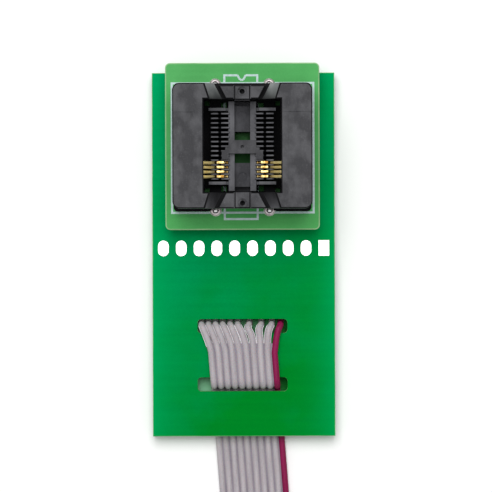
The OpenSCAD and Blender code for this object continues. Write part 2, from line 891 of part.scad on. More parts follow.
// Box contacts, open at the top, with a blade down to the ribbon
module plug_contacts() {
    outer = 0.9;
    inner = 0.56;
    color(gold)
        translate([plug_x, plug_y, 0])
            for_plug_contact()
                difference() {
                    block(outer, outer, 0, plug_body_h - 0.4);
                    block(inner, inner, 0.9, plug_body_h);
                    block(inner / 2, outer + 1, -eps, 0.5);
                }
}

// ---------- nodes ----------

main_board();
pad_solder();
adapter_board();
header_spacer(-1);  // header_spacer_left
header_spacer(1);  // header_spacer_right
header_pins(-1);  // header_pins_left
header_pins(1);  // header_pins_right
header_solder();
socket_base();
device_stop();
socket_cover();
for (i = [1:4])
    return_spring(i - 1);
for (i = [1:contact_count]) {
    contact_seat(-1, i - 1);
    contact_seat(1, i - 1);
    contact_arm(-1, i - 1);
    contact_arm(1, i - 1);
}
ribbon_grey_wires();
ribbon_red_wire();
ribbon_lead();
plug_body();
plug_cap();
plug_contacts();
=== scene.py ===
"""Open-top chip test socket with its adapter board, cable board and ribbon.

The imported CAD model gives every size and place. This script dresses its nodes
for rendering: it rounds their edges, gives them finishes, prints the boards and
draws the ten-wire ribbon out of real wires and webs.
"""

import logging
import math
from collections.abc import Callable, Iterable
from dataclasses import dataclass
from enum import Enum
from functools import cached_property
from itertools import pairwise

import bmesh
import bpy
from bmesh.types import BMEdge, BMesh, BMFace, BMVert
from bpy.types import Material, Node, NodeSocket, NodeTree, Object
from mathutils import Matrix, Vector


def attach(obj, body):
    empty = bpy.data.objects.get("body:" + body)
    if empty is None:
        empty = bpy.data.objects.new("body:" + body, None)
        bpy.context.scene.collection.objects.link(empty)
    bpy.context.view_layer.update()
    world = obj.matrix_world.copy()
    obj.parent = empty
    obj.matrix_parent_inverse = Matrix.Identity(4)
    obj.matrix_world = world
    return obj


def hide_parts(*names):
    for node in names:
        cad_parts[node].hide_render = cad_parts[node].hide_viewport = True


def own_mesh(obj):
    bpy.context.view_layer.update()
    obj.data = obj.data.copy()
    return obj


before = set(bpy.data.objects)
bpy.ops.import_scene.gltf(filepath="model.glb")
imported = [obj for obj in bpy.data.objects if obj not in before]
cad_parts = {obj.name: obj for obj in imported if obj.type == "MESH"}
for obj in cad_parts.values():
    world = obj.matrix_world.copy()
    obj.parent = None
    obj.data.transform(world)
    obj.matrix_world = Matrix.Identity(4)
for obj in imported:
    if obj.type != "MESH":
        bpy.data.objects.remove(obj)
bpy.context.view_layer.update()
log = logging.getLogger("test_socket")

Pair = tuple[float, float]
Triple = tuple[float, float, float]
Quad = tuple[float, float, float, float]
Colour = Quad
Display = tuple[int, int, int]
Feed = NodeSocket | float | tuple[float, ...]

MM = 0.001
SHARP_DEG = 30.0
BAR_FACES = 6
WEAVE_DARK: Colour = (0.0, 0.02, 0.01, 1.0)
UNLIT_MASK: Colour = (0.0, 0.02, 0.002, 1.0)
UNLIT_PLASTIC: Colour = (0.008, 0.008, 0.009, 1.0)


class Body(Enum):
    """The rigid bodies that the pieces ride on."""

    CARRIER = "carrier"
    COVER = "cover"
    LEFT = "contacts_left"
    RIGHT = "contacts_right"


class Slot(Enum):
    """The record's material slots."""

    DARK_BOARD = "dark_green_board"
    LIGHT_BOARD = "light_green_board"
    SOLDER = "tin_solder"
    PINS = "tinned_pins"
    BLACK = "black_moulding"
    GREY_BLACK = "grey_black_moulding"
    GOLD = "gold_strip"
    STEEL = "spring_steel"
    GREY_PVC = "grey_pvc"
    RED_PVC = "red_pvc"


def mm(x: float, y: float, z: float = 0.0) -> Vector:
    """A point given in millimetres, in metres."""
    return Vector((x, y, z)) * MM


def srgb(red: int, green: int, blue: int) -> Colour:
    """A linear colour from its 8-bit display values.

    Args:
        red, green, blue: Display values, 0 to 255.

    Returns:
        Linear red, green and blue, and an alpha of 1.
    """

    def linear(level: int) -> float:
        """One channel's linear value."""
        share = level / 255
        return share / 12.92 if share <= 0.04045 else ((share + 0.055) / 1.055) ** 2.4

    return linear(red), linear(green), linear(blue), 1.0


# ---------- finishes ----------


class Nodes:
    """Adds nodes to one tree."""

    def __init__(self, tree: NodeTree) -> None:
        """Takes the tree to add to."""
        self.tree = tree

    def add(self, kind: str, inputs: dict[str | int, Feed], **settings: object) -> Node:
        """Adds a node.

        Args:
            kind: The node's type name.
            inputs: Socket names or numbers, each with a constant or another socket.
            settings: The node's own properties.

        Returns:
            The new node.
        """
        node = self.tree.nodes.new(kind)
        for key, value in settings.items():
            setattr(node, key, value)
        for key, value in inputs.items():
            self.feed(node.inputs[key], value)
        return node

    def feed(self, socket: NodeSocket, value: Feed) -> None:
        """Links a socket to another, or sets it to a constant.

        Args:
            socket: The input to feed.
            value: An output to link it to, or a constant.
        """
        if isinstance(value, NodeSocket):
            self.tree.links.new(value, socket)
        else:
            socket.default_value = value

    def remap(
        self, value: NodeSocket, low: float, high: float, start: float = 0.0, end: float = 1.0
    ) -> NodeSocket:
        """value's stretch from low to high, as start to end, clamped."""
        inputs = {"Value": value, "From Min": low, "From Max": high, "To Min": start, "To Max": end}
        return self.add("ShaderNodeMapRange", inputs).outputs["Result"]

    def maths(
        self, operation: str, first: Feed, second: Feed = 0.0, clamped: bool = False
    ) -> NodeSocket:
        """The result of a maths node on two values."""
        inputs = {0: first, 1: second}
        node = self.add("ShaderNodeMath", inputs, operation=operation, use_clamp=clamped)
        return node.outputs["Value"]


class Recipe(Nodes):
    """Builds one material, whose nodes all work on Object coordinates."""

    def __init__(self, name: str) -> None:
        """Starts a material of this name with a Principled shader."""
        self.material = bpy.data.materials.new(name)
        self.material.use_nodes = True
        super().__init__(self.material.node_tree)
        self.shader = self.tree.nodes["Principled BSDF"]
        self.place = self.tree.nodes.new("ShaderNodeTexCoord").outputs["Object"]

    def shade(self, **inputs: Feed) -> None:
        """Feeds the shader. A name's underscores stand for spaces."""
        for key, value in inputs.items():
            self.feed(self.shader.inputs[key.replace("_", " ")], value)

    def axes(self) -> tuple[NodeSocket, NodeSocket]:
        """The X and the Y of the Object coordinates."""
        split = self.add("ShaderNodeSeparateXYZ", {"Vector": self.place})
        return split.outputs["X"], split.outputs["Y"]

    def scaled(self, x: float, y: float, z: float) -> NodeSocket:
        """Object coordinates stretched by a factor on each axis."""
        inputs = {"Vector": self.place, "Scale": (x, y, z)}
        return self.add("ShaderNodeMapping", inputs).outputs["Vector"]

    def noise(
        self, size_mm: float, detail: float = 2.0, where: NodeSocket | None = None
    ) -> NodeSocket:
        """A soft random pattern from 0 to 1.

        Args:
            size_mm: The size of its blotches.
            detail: How many finer octaves it has.
            where: The coordinates, or None for plain Object coordinates.

        Returns:
            The pattern's socket.
        """
        inputs = {"Vector": where or self.place, "Scale": 1.0 / MM / size_mm, "Detail": detail}
        return self.add("ShaderNodeTexNoise", inputs).outputs["Fac"]

    def mix(self, share: NodeSocket, first: Feed, second: Feed) -> NodeSocket:
        """A colour from first (share 0) to second (share 1)."""
        inputs = {"Factor": share, 6: first, 7: second}
        return self.add("ShaderNodeMix", inputs, data_type="RGBA").outputs[2]

    def tone(self, share: NodeSocket, first: Display, second: Display) -> NodeSocket:
        """A colour from one display colour to another."""
        return self.mix(share, srgb(*first), srgb(*second))

    def within(self, value: NodeSocket, middle: float, reach: float) -> NodeSocket:
        """1 where a value lies within reach of the middle, else 0."""
        off = self.maths("ABSOLUTE", self.maths("SUBTRACT", value, middle))
        return self.maths("LESS_THAN", off, reach)

    def bump(self, height: NodeSocket, depth_mm: float, strength: float = 1.0) -> None:
        """Makes the surface rise and fall with height, by depth_mm at most."""
        inputs = {"Height": height, "Distance": depth_mm * MM, "Strength": strength}
        self.shade(Normal=self.add("ShaderNodeBump", inputs).outputs["Normal"])


@dataclass(frozen=True)
class MaskFinish:
    """Solder mask over the weave of a glass-epoxy board.

    The colour drifts from first to second along drift_axis, and near the sides it turns
    lighter: painted light for the light that falls on the board's sides. shaded_mm is
    the middle and half size of a patch that gets no light, painted as unlit shade.
    """

    name: str
    first: Colour
    second: Colour
    drift_axis: Pair = (9.0, -18.0)
    gloss_tint: Colour = srgb(0, 110, 60)
    roughness: Pair = (0.3, 0.44)
    # Painted light: the colour that the mask turns to near the board's sides, standing in for light
    # falling there.
    side_light: Colour = (0.0, 0.4, 0.12, 1.0)
    side_light_share: float = 0.5
    side_light_power: float = 5.0
    half_width_mm: float = 13.0
    shaded_mm: Quad = (0.0, 0.0, 0.0, 0.0)
    shaded_share: float = 0.97
    weave_per_m: float = 250.0

    def build(self) -> Material:
        """The mask's material."""
        r = Recipe(self.name)
        x, y = r.axes()
        drift_x, drift_y = (
            r.maths("MULTIPLY", *pair) for pair in zip((x, y), self.drift_axis, strict=True)
        )
        cloud = r.remap(r.noise(7.0, 3.0), 0.3, 0.7, -0.18, 0.18)
        drift = r.maths("ADD", r.maths("ADD", drift_x, drift_y), cloud)
        plain = r.mix(r.maths("ADD", drift, 0.5, True), self.first, self.second)
        streak = r.noise(0.7, 2.0, r.scaled(0.04, 1.0, 1.0))
        fine = r.maths("ADD", r.noise(0.25), r.maths("MULTIPLY", streak, 1.2))
        speck = r.remap(fine, 0.8, 1.4)
        specked = r.mix(r.remap(speck, 0.0, 1.0, 0.0, 0.12), plain, WEAVE_DARK)
        # Painted light towards the sides, then painted shade over the shaded_mm patch.
        side = r.maths("DIVIDE", r.maths("ABSOLUTE", x), self.half_width_mm * MM)
        side_light_amount = r.maths("MULTIPLY", r.maths("POWER", side, self.side_light_power), self.side_light_share)
        middle_x, middle_y, half_x, half_y = (part * MM for part in self.shaded_mm)
        across, along = r.within(x, middle_x, half_x), r.within(y, middle_y, half_y)
        shaded = r.maths("MULTIPLY", r.maths("MULTIPLY", across, along), self.shaded_share)
        r.shade(
            Base_Color=r.mix(shaded, r.mix(side_light_amount, specked, self.side_light), UNLIT_MASK),
            Roughness=r.remap(r.noise(2.0), 0.3, 0.7, *self.roughness),
            Specular_IOR_Level=0.5,
            Specular_Tint=self.gloss_tint,
        )
        wave = {"Vector": r.place, "Scale": self.weave_per_m, "Distortion": 0.6, "Detail": 1.0}
        warp, weft = (
            r.add("ShaderNodeTexWave", wave, bands_direction=axis).outputs["Fac"] for axis in "XY"
        )
        weave = r.maths("MULTIPLY", warp, weft)
        r.bump(r.maths("ADD", weave, r.maths("MULTIPLY", speck, 0.4)), 0.006, 0.6)
        return r.material


@dataclass(frozen=True)
class LaminateFinish:
    """The cut edge of a glass-epoxy board, in thin layers."""

    name: str
    resin: Display
    glass: Display

    def build(self) -> Material:
        """The edge's material: glass layers in resin."""
        r = Recipe(self.name)
        layers = r.noise(0.5, 3.0, r.scaled(0.25, 0.25, 4.0))
        fibre = r.noise(0.12)
        both = r.maths("ADD", layers, r.maths("MULTIPLY", fibre, 0.4))
        colour = r.tone(r.remap(both, 0.45, 0.95), self.resin, self.glass)
        r.shade(Base_Color=colour, Roughness=0.62, Specular_IOR_Level=0.35)
        r.bump(fibre, 0.02, 0.7)
        return r.material


@dataclass(frozen=True)
class PrintFinish:
    """Screen-printed legend ink."""

    name: str
    ink: Display
    worn: Display

    def build(self) -> Material:
        """The ink's material, a little thinner in spots."""
        r = Recipe(self.name)
        thin = r.remap(r.noise(0.3, 3.0), 0.35, 0.7, 0.0, 0.6)
        r.shade(Base_Color=r.tone(thin, self.ink, self.worn), Roughness=0.6)
        r.bump(r.noise(0.15), 0.01, 0.5)
        return r.material


@dataclass(frozen=True)
class MetalFinish:
    """A bare or plated metal surface."""

    name: str
    bright: Display
    dull: Display
    roughness: Pair
    grain_mm: float
    ripple_mm: float
    stretch: Triple = (1.0, 1.0, 1.0)

    def build(self) -> Material:
        """The metal's material, with stains and a fine surface ripple."""
        r = Recipe(self.name)
        stain = r.remap(r.noise(self.grain_mm * 4, 3.0), 0.35, 0.65)
        grain = r.noise(self.grain_mm, 2.0, r.scaled(*self.stretch))
        roughness = r.remap(grain, 0.3, 0.7, *self.roughness)
        colour = r.tone(stain, self.bright, self.dull)
        r.shade(Base_Color=colour, Metallic=1.0, Roughness=roughness)
        r.bump(grain, self.ripple_mm, 0.8)
        return r.material


@dataclass(frozen=True)
class MouldedFinish:
    """Filled heat-resistant plastic, with flow marks and a fine grain.

    lit_mm is a middle along Y, and how far from it the plastic is still unlit and
    already fully lit. As it stands, all of it is lit.
    """

    name: str
    body: Display
    cloud: Display
    fleck: Display
    roughness: Pair = (0.5, 0.66)
    gloss: float = 0.22
    fleck_share: float = 0.25
    lit_mm: Triple = (0.0, -2.0, -1.0)
    cloud_mm: float = 2.2
    grain_depth_mm: float = 0.012

    def build(self) -> Material:
        """The plastic's material."""
        r = Recipe(self.name)
        flow = r.noise(self.cloud_mm, 4.0, r.scaled(1.0, 0.7, 1.0))
        fleck = r.remap(r.noise(0.16), 0.6, 0.75, 0.0, self.fleck_share)
        clouded = r.tone(r.remap(flow, 0.42, 0.6), self.body, self.cloud)
        flecked = r.mix(fleck, clouded, srgb(*self.fleck))
        middle, dark_to, light_from = (part * MM for part in self.lit_mm)
        away = r.maths("ABSOLUTE", r.maths("SUBTRACT", r.axes()[1], middle))
        r.shade(
            Base_Color=r.mix(r.remap(away, dark_to, light_from), UNLIT_PLASTIC, flecked),
            Roughness=r.remap(flow, 0.3, 0.7, *self.roughness),
            Specular_IOR_Level=self.gloss,
        )
        rough = r.maths("ADD", r.noise(0.09, 3.0), r.maths("MULTIPLY", flow, 0.6))
        r.bump(rough, self.grain_depth_mm, 0.8)
        return r.material


@dataclass(frozen=True)
class PvcFinish:
    """Soft extruded PVC, drawn lengthwise along Y."""

    name: str
    body: Display
    shade: Display
    roughness: Pair = (0.42, 0.6)
    gloss: float = 0.28

    def build(self) -> Material:
        """The insulation's material, with faint lengthwise streaks and dust."""
        r = Recipe(self.name)
        streak = r.remap(r.noise(0.5, 3.0, r.scaled(1.0, 0.08, 1.0)), 0.35, 0.65, 0.0, 0.5)
        dust = r.remap(r.noise(0.2), 0.5, 0.72, 0.0, 0.35)
        r.shade(
            Base_Color=r.tone(r.maths("ADD", streak, dust), self.body, self.shade),
            Roughness=r.remap(r.noise(1.5), 0.3, 0.7, *self.roughness),
            Specular_IOR_Level=self.gloss,
            Subsurface_Weight=0.06,
            Subsurface_Scale=0.0004,
        )
        r.bump(r.noise(0.3, 3.0, r.scaled(1.0, 0.12, 1.0)), 0.015, 0.7)
        return r.material


class Finish(Enum):
    """Every finish of the object."""

    # The masks turn lighter near the board's sides: painted light.
    DARK_MASK = MaskFinish("dark_solder_mask", srgb(0, 150, 94), srgb(0, 130, 34))
    DARK_TRACE = MaskFinish("dark_masked_copper", srgb(16, 172, 104), srgb(24, 160, 64))
    LIGHT_MASK = MaskFinish(
        "light_solder_mask",
        srgb(80, 166, 92),
        srgb(64, 152, 76),
        gloss_tint=srgb(120, 190, 120),
        # Painted light near the sides, and below it painted shade under the socket.
        side_light=srgb(92, 176, 104),
        side_light_share=0.3,
        half_width_mm=10.9,
        shaded_mm=(-0.12, 14.55, 8.6, 8.0),
    )
    LAMINATE = LaminateFinish("board_laminate", (108, 170, 108), (160, 198, 148))
    GREEN_LAMINATE = LaminateFinish("slot_laminate", (40, 150, 84), (142, 196, 130))
    INK = PrintFinish("legend_ink", (198, 220, 220), (158, 194, 180))
    PAD_TIN = MetalFinish("pad_tin", (246, 246, 247), (232, 232, 233), (0.3, 0.45), 0.25, 0.015)
    SOLDER = MetalFinish("tin_solder", (216, 206, 209), (178, 166, 170), (0.46, 0.66), 0.25, 0.03)
    PINS = MetalFinish("tin_plate", (226, 226, 226), (200, 200, 198), (0.25, 0.42), 0.12, 0.006)
    GOLD = MetalFinish(
        "gold_plate", (255, 240, 176), (248, 222, 142), (0.36, 0.56), 0.12, 0.006, (1.0, 4.0, 1.0)
    )
    GOLD_HEAD = MetalFinish(
        "gold_plate_head", (240, 218, 150), (148, 108, 44), (0.3, 0.5), 0.16, 0.01
    )
    # Painted shade: dark bronze in the lowered crook between each contact's lever and bar.
    GOLD_CROOK_SHADE = MetalFinish(
        "gold_plate_crook_painted_shade", (66, 46, 16), (40, 28, 10), (0.5, 0.7), 0.12, 0.006
    )
    STEEL = MetalFinish("drawn_steel", (200, 202, 206), (168, 170, 174), (0.25, 0.4), 0.1, 0.004)
    COVER = MouldedFinish(
        "grey_black_plastic", (54, 54, 57), (80, 80, 83), (128, 128, 131), (0.48, 0.64), 0.16
    )
    # Painted shade: near-black plastic on the cover's rounded upper edges and in its valleys' walls
    # and floors.
    COVER_SHADE = MouldedFinish(
        "grey_black_plastic_painted_shade", (14, 14, 16), (20, 20, 22), (40, 40, 43), gloss=0.05
    )
    # Painted shade on the near valley slopes, fading to unlit towards the window.
    VALLEY_NEAR_SHADE = MouldedFinish(
        "grey_black_plastic_near_painted_shade",
        (58, 58, 61),
        (78, 78, 81),
        (110, 110, 113),
        gloss=0.1,
        lit_mm=(14.55, 6.2, 8.6),
    )
    # Painted light on the far valley slopes, much lighter than the cover, fading to unlit towards
    # the window.
    VALLEY_FAR_LIT = MouldedFinish(
        "grey_black_plastic_far_painted_light",
        (112, 116, 116),
        (136, 140, 139),
        (160, 164, 162),
        gloss=0.1,
        lit_mm=(14.55, 6.2, 8.4),
    )
    # Painted shade: near-black plastic on the base's low faces beside the rails and on its
    # outermost ribs.
    BASE_SHADE = MouldedFinish(
        "black_plastic_painted_shade", (16, 16, 18), (22, 22, 24), (40, 40, 42), (0.6, 0.8), 0.03
    )
    BASE = MouldedFinish(
        "black_plastic", (78, 78, 82), (98, 98, 102), (140, 140, 144), gloss=0.16
    )
    # Painted shade: darker plastic in the channel between the rails.
    BASE_CHANNEL_SHADE = MouldedFinish(
        "black_plastic_channel_painted_shade", (50, 50, 54), (72, 72, 76), (110, 110, 114), gloss=0.14
    )
    PLUG = MouldedFinish(
        "black_plug_plastic", (32, 32, 34), (40, 40, 42), (72, 72, 74), (0.34, 0.5), 0.22, 0.1
    )
    GREY_PVC = PvcFinish("grey_insulation", (180, 173, 177), (152, 145, 151))
    # Painted shade: the webs between the wires, darker than the insulation, for the shade in the
    # grooves.
    WEB_PVC_SHADE = PvcFinish("grey_insulation_web_painted_shade", (146, 137, 149), (120, 111, 123), (0.6, 0.78))
    # Painted highlight: the torn web edges along the split wires, lighter than the insulation.
    TORN_PVC_HIGHLIGHT = PvcFinish("grey_insulation_torn_painted_highlight", (236, 231, 234), (206, 200, 204), (0.5, 0.68))
    RED_PVC = PvcFinish("red_insulation", (140, 0, 74), (94, 0, 44), gloss=0.24)

    @cached_property
    def material(self) -> Material:
        """The finish's material, built at its first use."""
        return self.value.build()


# ---------- building tools ----------


@dataclass(frozen=True)
class Rounding:
    """How the sharp edges of a CAD node are rounded."""

    width_mm: float = 0.0
    segments: int = 2
    from_deg: float = SHARP_DEG
    outline_mm: float = 0.0
    outline_material: int = -1
    outline_tol_mm: float = 0.3


def bevel(
    bm: BMesh,
    edges: list[BMEdge],
    width: float,
    segments: int,
    material: int = -1,
    clamp: bool = True,
) -> None:
    """Rounds edges of a mesh.

    Args:
        bm: The mesh.
        edges: The edges to round.
        width: How far the rounding reaches from each edge, in metres.
        segments: How many facets it has.
        material: The material number of the new faces, or -1 for their neighbours'.
        clamp: Whether the rounding shrinks where it would overlap.
    """
    bmesh.ops.bevel(
        bm,
        geom=edges,
        offset=width,
        offset_type="OFFSET",
        segments=segments,
        profile=0.5,
        affect="EDGES",
        clamp_overlap=clamp,
        material=material,
    )


def merged_copy(node: str) -> BMesh:
    """A CAD node's mesh with its corners merged and its flat faces whole."""
    bm = bmesh.new()
    bm.from_mesh(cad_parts[node].data)
    bmesh.ops.remove_doubles(bm, verts=bm.verts, dist=2e-6)
    bmesh.ops.dissolve_limit(
        bm, angle_limit=math.radians(0.8), verts=bm.verts[:], edges=bm.edges[:]
    )
    return bm


def top_outline(bm: BMesh, tolerance: float) -> list[BMEdge]:
    """The edges round the outside of a mesh's top face.

    Args:
        bm: The mesh.
        tolerance: How far inside the mesh's box an edge may lie, in metres.

    Returns:
        The sharp edges that lie at the top and near a side of the box.
    """
    xs = [v.co.x for v in bm.verts]
    ys = [v.co.y for v in bm.verts]
    min_x, max_x, min_y, max_y = min(xs), max(xs), min(ys), max(ys)
    top = max(v.co.z for v in bm.verts)

    def outside(vert: BMVert) -> bool:
        """Whether a corner lies at the top and near a side."""
        x, y, z = vert.co
        near = min(x - min_x, max_x - x, y - min_y, max_y - y)
        return top - z < 1e-5 and near < tolerance

    return [e for e in sharp_edges(bm) if all(outside(v) for v in e.verts)]


def sharp_edges(bm: BMesh, from_deg: float = SHARP_DEG) -> list[BMEdge]:
    """The edges at which a mesh turns by more than from_deg."""
    limit = math.radians(from_deg)
    return [e for e in bm.edges if e.is_manifold and e.calc_face_angle(0.0) > limit]


def add_piece(
    name: str,
    bm: BMesh,
    finishes: Iterable[Finish],
    body: Body = Body.CARRIER,
    smooth_deg: float = 35.0,
) -> Object:
    """Turns a bmesh into a piece of the object.

    Args:
        name: The piece's name.
        bm: Its mesh, which is freed.
        finishes: Its finishes, in the order of the faces' material numbers.
        body: The body that it rides on.
        smooth_deg: Edges that turn by less than this are shaded smooth.

    Returns:
        The new object.
    """
    mesh = bpy.data.meshes.new(name)
    bm.to_mesh(mesh)
    bm.free()
    for finish in finishes:
        mesh.materials.append(finish.material)
    mesh.shade_smooth()
    mesh.set_sharp_from_angle(angle=math.radians(smooth_deg))
    obj = bpy.data.objects.new(name, mesh)
    bpy.context.scene.collection.objects.link(obj)
    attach(obj, body.value)
    log.info("%s: %d faces, rides on %s", name, len(mesh.polygons), body.value)
    return obj


def dress_node(
    node: str,
    rounding: Rounding,
    finishes: Iterable[Finish],
    body: Body = Body.CARRIER,
    paint: Callable[[BMesh], None] | None = None,
    smooth_deg: float = 35.0,
) -> Object:
    """Makes a rounded and finished copy of a CAD node, which stands for it.

    Args:
        node: The CAD node.
        rounding: How its edges are rounded.
        finishes: The copy's finishes.
        body: The body that it rides on.
        paint: Gives faces their material numbers, before the edges are rounded.
        smooth_deg: Edges that turn by less than this are shaded smooth.

    Returns:
        The new piece.
    """
    bm = merged_copy(node)
    if paint:
        paint(bm)
    if rounding.outline_mm:
        outline = top_outline(bm, rounding.outline_tol_mm * MM)
        bevel(bm, outline, rounding.outline_mm * MM, 4, rounding.outline_material)
    if rounding.width_mm:
        edges = sharp_edges(bm, rounding.from_deg)
        bevel(bm, edges, rounding.width_mm * MM, rounding.segments)
    obj = add_piece(f"{node}_shown", bm, finishes, body, smooth_deg)
    weighted = obj.modifiers.new("weighted", "WEIGHTED_NORMAL")
    weighted.keep_sharp = True
    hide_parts(node)
    return obj


def add_bar(bm: BMesh, start: Vector, end: Vector, width: float, height: float) -> None:
    """Adds a flat bar between two points at one level.

    Args:
        bm: The mesh to add to.
        start: The middle of its first end, in metres.
        end: The middle of its last end.
        width: Its width in the plane.
        height: Its thickness.
    """
    along = end - start
    turn = Matrix.Rotation(math.atan2(along.y, along.x), 4, "Z")
    size = Matrix.Diagonal((along.length, width, height, 1.0))
    matrix = Matrix.Translation((start + end) / 2) @ turn @ size
    bmesh.ops.create_cube(bm, size=1.0, matrix=matrix)


def station_frames(path: list[Vector]) -> list[Matrix]:
    """Places for the rings of a sweep, whose width stays along X.

    Args:
        path: The points that the sweep follows.

    Returns:
        One matrix for each point: X to the side, Z along the path.
    """
    frames = []
    for k, point in enumerate(path):
        ahead = path[min(k + 1, len(path) - 1)]
        behind = path[max(k - 1, 0)]
        heading = (ahead - behind).normalized()
        up = heading.cross(Vector((1.0, 0.0, 0.0))).normalized()
        side = up.cross(heading).normalized()
        turned = Matrix((side, up, heading)).transposed().to_4x4()
        frames.append(Matrix.Translation(point) @ turned)
    return frames


def sweep(bm: BMesh, path: list[Vector], section: list[Vector], material: int = 0) -> None:
    """Adds a closed section drawn along a path, with flat ends.

    Args:
        bm: The mesh to add to.
        path: The points that it follows, in metres.
        section: The section's corners in the XY plane, in metres.
        material: The material number of its faces.
    """
    first_face = len(bm.faces)
    frames = station_frames(path)
    ring: list[BMVert] = bmesh.ops.create_circle(
        bm, cap_ends=True, radius=1.0, segments=len(section)
    )["verts"]
    for vert, corner in zip(ring, section):
        vert.co = frames[0] @ corner
    edges = list({e for v in ring for e in v.link_edges})
    for before, after in pairwise(frames):
        grown = bmesh.ops.extrude_edge_only(bm, edges=edges)["geom"]
        verts = [g for g in grown if isinstance(g, BMVert)]
        edges = [g for g in grown if isinstance(g, BMEdge) and g.is_boundary]
        bmesh.ops.transform(bm, matrix=after @ before.inverted(), verts=verts)
    bmesh.ops.contextual_create(bm, geom=edges)
    added: list[BMFace] = list(bm.faces)[first_face:]
    for face in added:
        face.material_index = material
    bmesh.ops.recalc_face_normals(bm, faces=added)


def round_section(radius: float, sides: int) -> list[Vector]:
    """The corners of a round section."""
    step = 2 * math.pi / sides
    return [
        Vector((radius * math.cos(k * step), radius * math.sin(k * step), 0.0))
        for k in range(sides)
    ]


def box_section(width: float, height: float) -> list[Vector]:
    """The corners of a rectangular section."""
    x, y = width / 2, height / 2
    return [Vector((x, y, 0)), Vector((-x, y, 0)), Vector((-x, -y, 0)), Vector((x, -y, 0))]


def paint_cut_edges(bm: BMesh) -> None:
    """Gives the upright faces of a board material 1 and the others 0."""
    for face in bm.faces:
        face.normal_update()
        face.material_index = int(abs(face.normal.z) < 0.5)


# ---------- sub-assemblies ----------


@dataclass
class CableBoard:
    """The dark green board: wire pads, two ribbon slots and copper underneath."""

    pad_count: int = 10
    pin_pitch_mm: float = 2.54
    pad_y_mm: float = 0.3
    under_mm: float = 1.0
    header_x_mm: Pair = (-3.93, 3.69)
    first_pin_y_mm: float = 5.66
    pad_lead_mm: float = 1.0
    lane_mm: float = 1.35
    trace_w_mm: float = 0.5
    copper_mm: float = 0.035

    def build(self) -> None:
        """Dresses the board and its solder, and lays the copper."""
        dress_node(
            "main_board",
            Rounding(0.03, 1, 60.0, 0.07, 1),
            [Finish.DARK_MASK, Finish.GREEN_LAMINATE],
            paint=paint_cut_edges,
        )
        dress_node("pad_solder", Rounding(), [Finish.PAD_TIN], smooth_deg=50.0)
        self.lay_traces()

    def trace_path(self, pad: int) -> list[Vector]:
        """The corners of one masked trace, from a wire pad to a header pin.

        Args:
            pad: The pad's number from the left.

        Returns:
            Points in metres on the board's underside.
        """
        half = self.pad_count // 2
        side = -1 if pad < half else 1
        order = half - 1 - pad if side < 0 else pad - half
        pad_x = (pad - (self.pad_count - 1) / 2) * self.pin_pitch_mm
        pin_x = self.header_x_mm[0 if side < 0 else 1]
        pin_y = self.first_pin_y_mm + order * self.pin_pitch_mm
        lane_x = pin_x + side * self.lane_mm * order
        bend = abs(pad_x - lane_x)
        level = self.under_mm - self.copper_mm / 2
        start_y = self.pad_y_mm + self.pad_lead_mm
        corners = [(pad_x, start_y), (lane_x, start_y + bend)]
        if order:
            corners += [(lane_x, pin_y - abs(lane_x - pin_x)), (pin_x, pin_y)]
        else:
            corners.append((lane_x, pin_y))
        return [mm(x, y, level) for x, y in corners]

    def lay_traces(self) -> None:
        """Adds the masked traces under the board."""
        bm = bmesh.new()
        for pad in range(self.pad_count):
            for start, end in pairwise(self.trace_path(pad)):
                add_bar(bm, start, end, self.trace_w_mm * MM, self.copper_mm * MM)
        add_piece("cable_board_traces", bm, [Finish.DARK_TRACE])


@dataclass
class AdapterBoard:
    """The light green board under the socket, with its printed outlines."""

    top_mm: float = 6.74
    line_mm: float = 0.3
    ink_mm: float = 0.02
    ink_sunk_mm: float = 0.005
    ink_step_mm: float = 0.0005
    socket_frame_mm: Quad = (-10.08, 9.92, 5.32, 23.61)
    chip_frame_mm: Quad = (-2.64, 2.01, 4.42, 24.72)
    notch_mm: tuple[Pair, ...] = (
        (-0.78, 0.0),
        (-0.66, -0.16),
        (-0.58, -0.42),
        (-0.42, -0.6),
        (-0.2, -0.67),
        (0.02, -0.6),
        (0.18, -0.42),
        (0.26, -0.16),
        (0.38, 0.0),
    )

    def build(self) -> None:
        """Dresses the board, the header under it and its print."""
        dress_node(
            "adapter_board",
            Rounding(0.03, 1, 60.0, 0.16, 1),
            [Finish.LIGHT_MASK, Finish.LAMINATE],
            paint=paint_cut_edges,
        )
        for side in ("left", "right"):
            dress_node(f"header_spacer_{side}", Rounding(0.08), [Finish.PLUG])
            dress_node(f"header_pins_{side}", Rounding(0.05), [Finish.PINS])
        dress_node("header_solder", Rounding(), [Finish.SOLDER], smooth_deg=50.0)
        self.print_outlines()

    def line(self, bm: BMesh, x0: float, y0: float, x1: float, y1: float) -> None:
        """Prints one line, a trace above the last, so that none lie in one plane.

        Args:
            bm: The mesh to add to.
            x0, y0: Where the line starts, in millimetres.
            x1, y1: Where it ends.
        """
        lift = len(bm.faces) / BAR_FACES * self.ink_step_mm
        level = self.top_mm + self.ink_mm / 2 - self.ink_sunk_mm + lift
        add_bar(bm, mm(x0, y0, level), mm(x1, y1, level), self.line_mm * MM, self.ink_mm * MM)

    def print_outlines(self) -> None:
        """Prints the socket's rectangle and the chip outline with its notch."""
        bm = bmesh.new()
        half = self.line_mm / 2
        x0, x1, y0, y1 = self.socket_frame_mm
        for y in (y0, y1):
            self.line(bm, x0 - half, y, x1 + half, y)
        for x in (x0, x1):
            self.line(bm, x, y0 + half, x, y1 - half)
        x0, x1, y0, y1 = self.chip_frame_mm
        left, right = self.notch_mm[0][0], self.notch_mm[-1][0]
        self.line(bm, x0 - half, y0, x1 + half, y0)
        self.line(bm, x0, y0 + half, x0, y1 - half)
        self.line(bm, x1, y0 + half, x1, y1 - half)
        self.line(bm, x0 - half, y1, left, y1)
        self.line(bm, right, y1, x1 + half, y1)
        for (xa, ya), (xb, yb) in pairwise(self.notch_mm):
            self.line(bm, xa, y1 + ya, xb, y1 + yb)
        add_piece("adapter_print", bm, [Finish.INK])


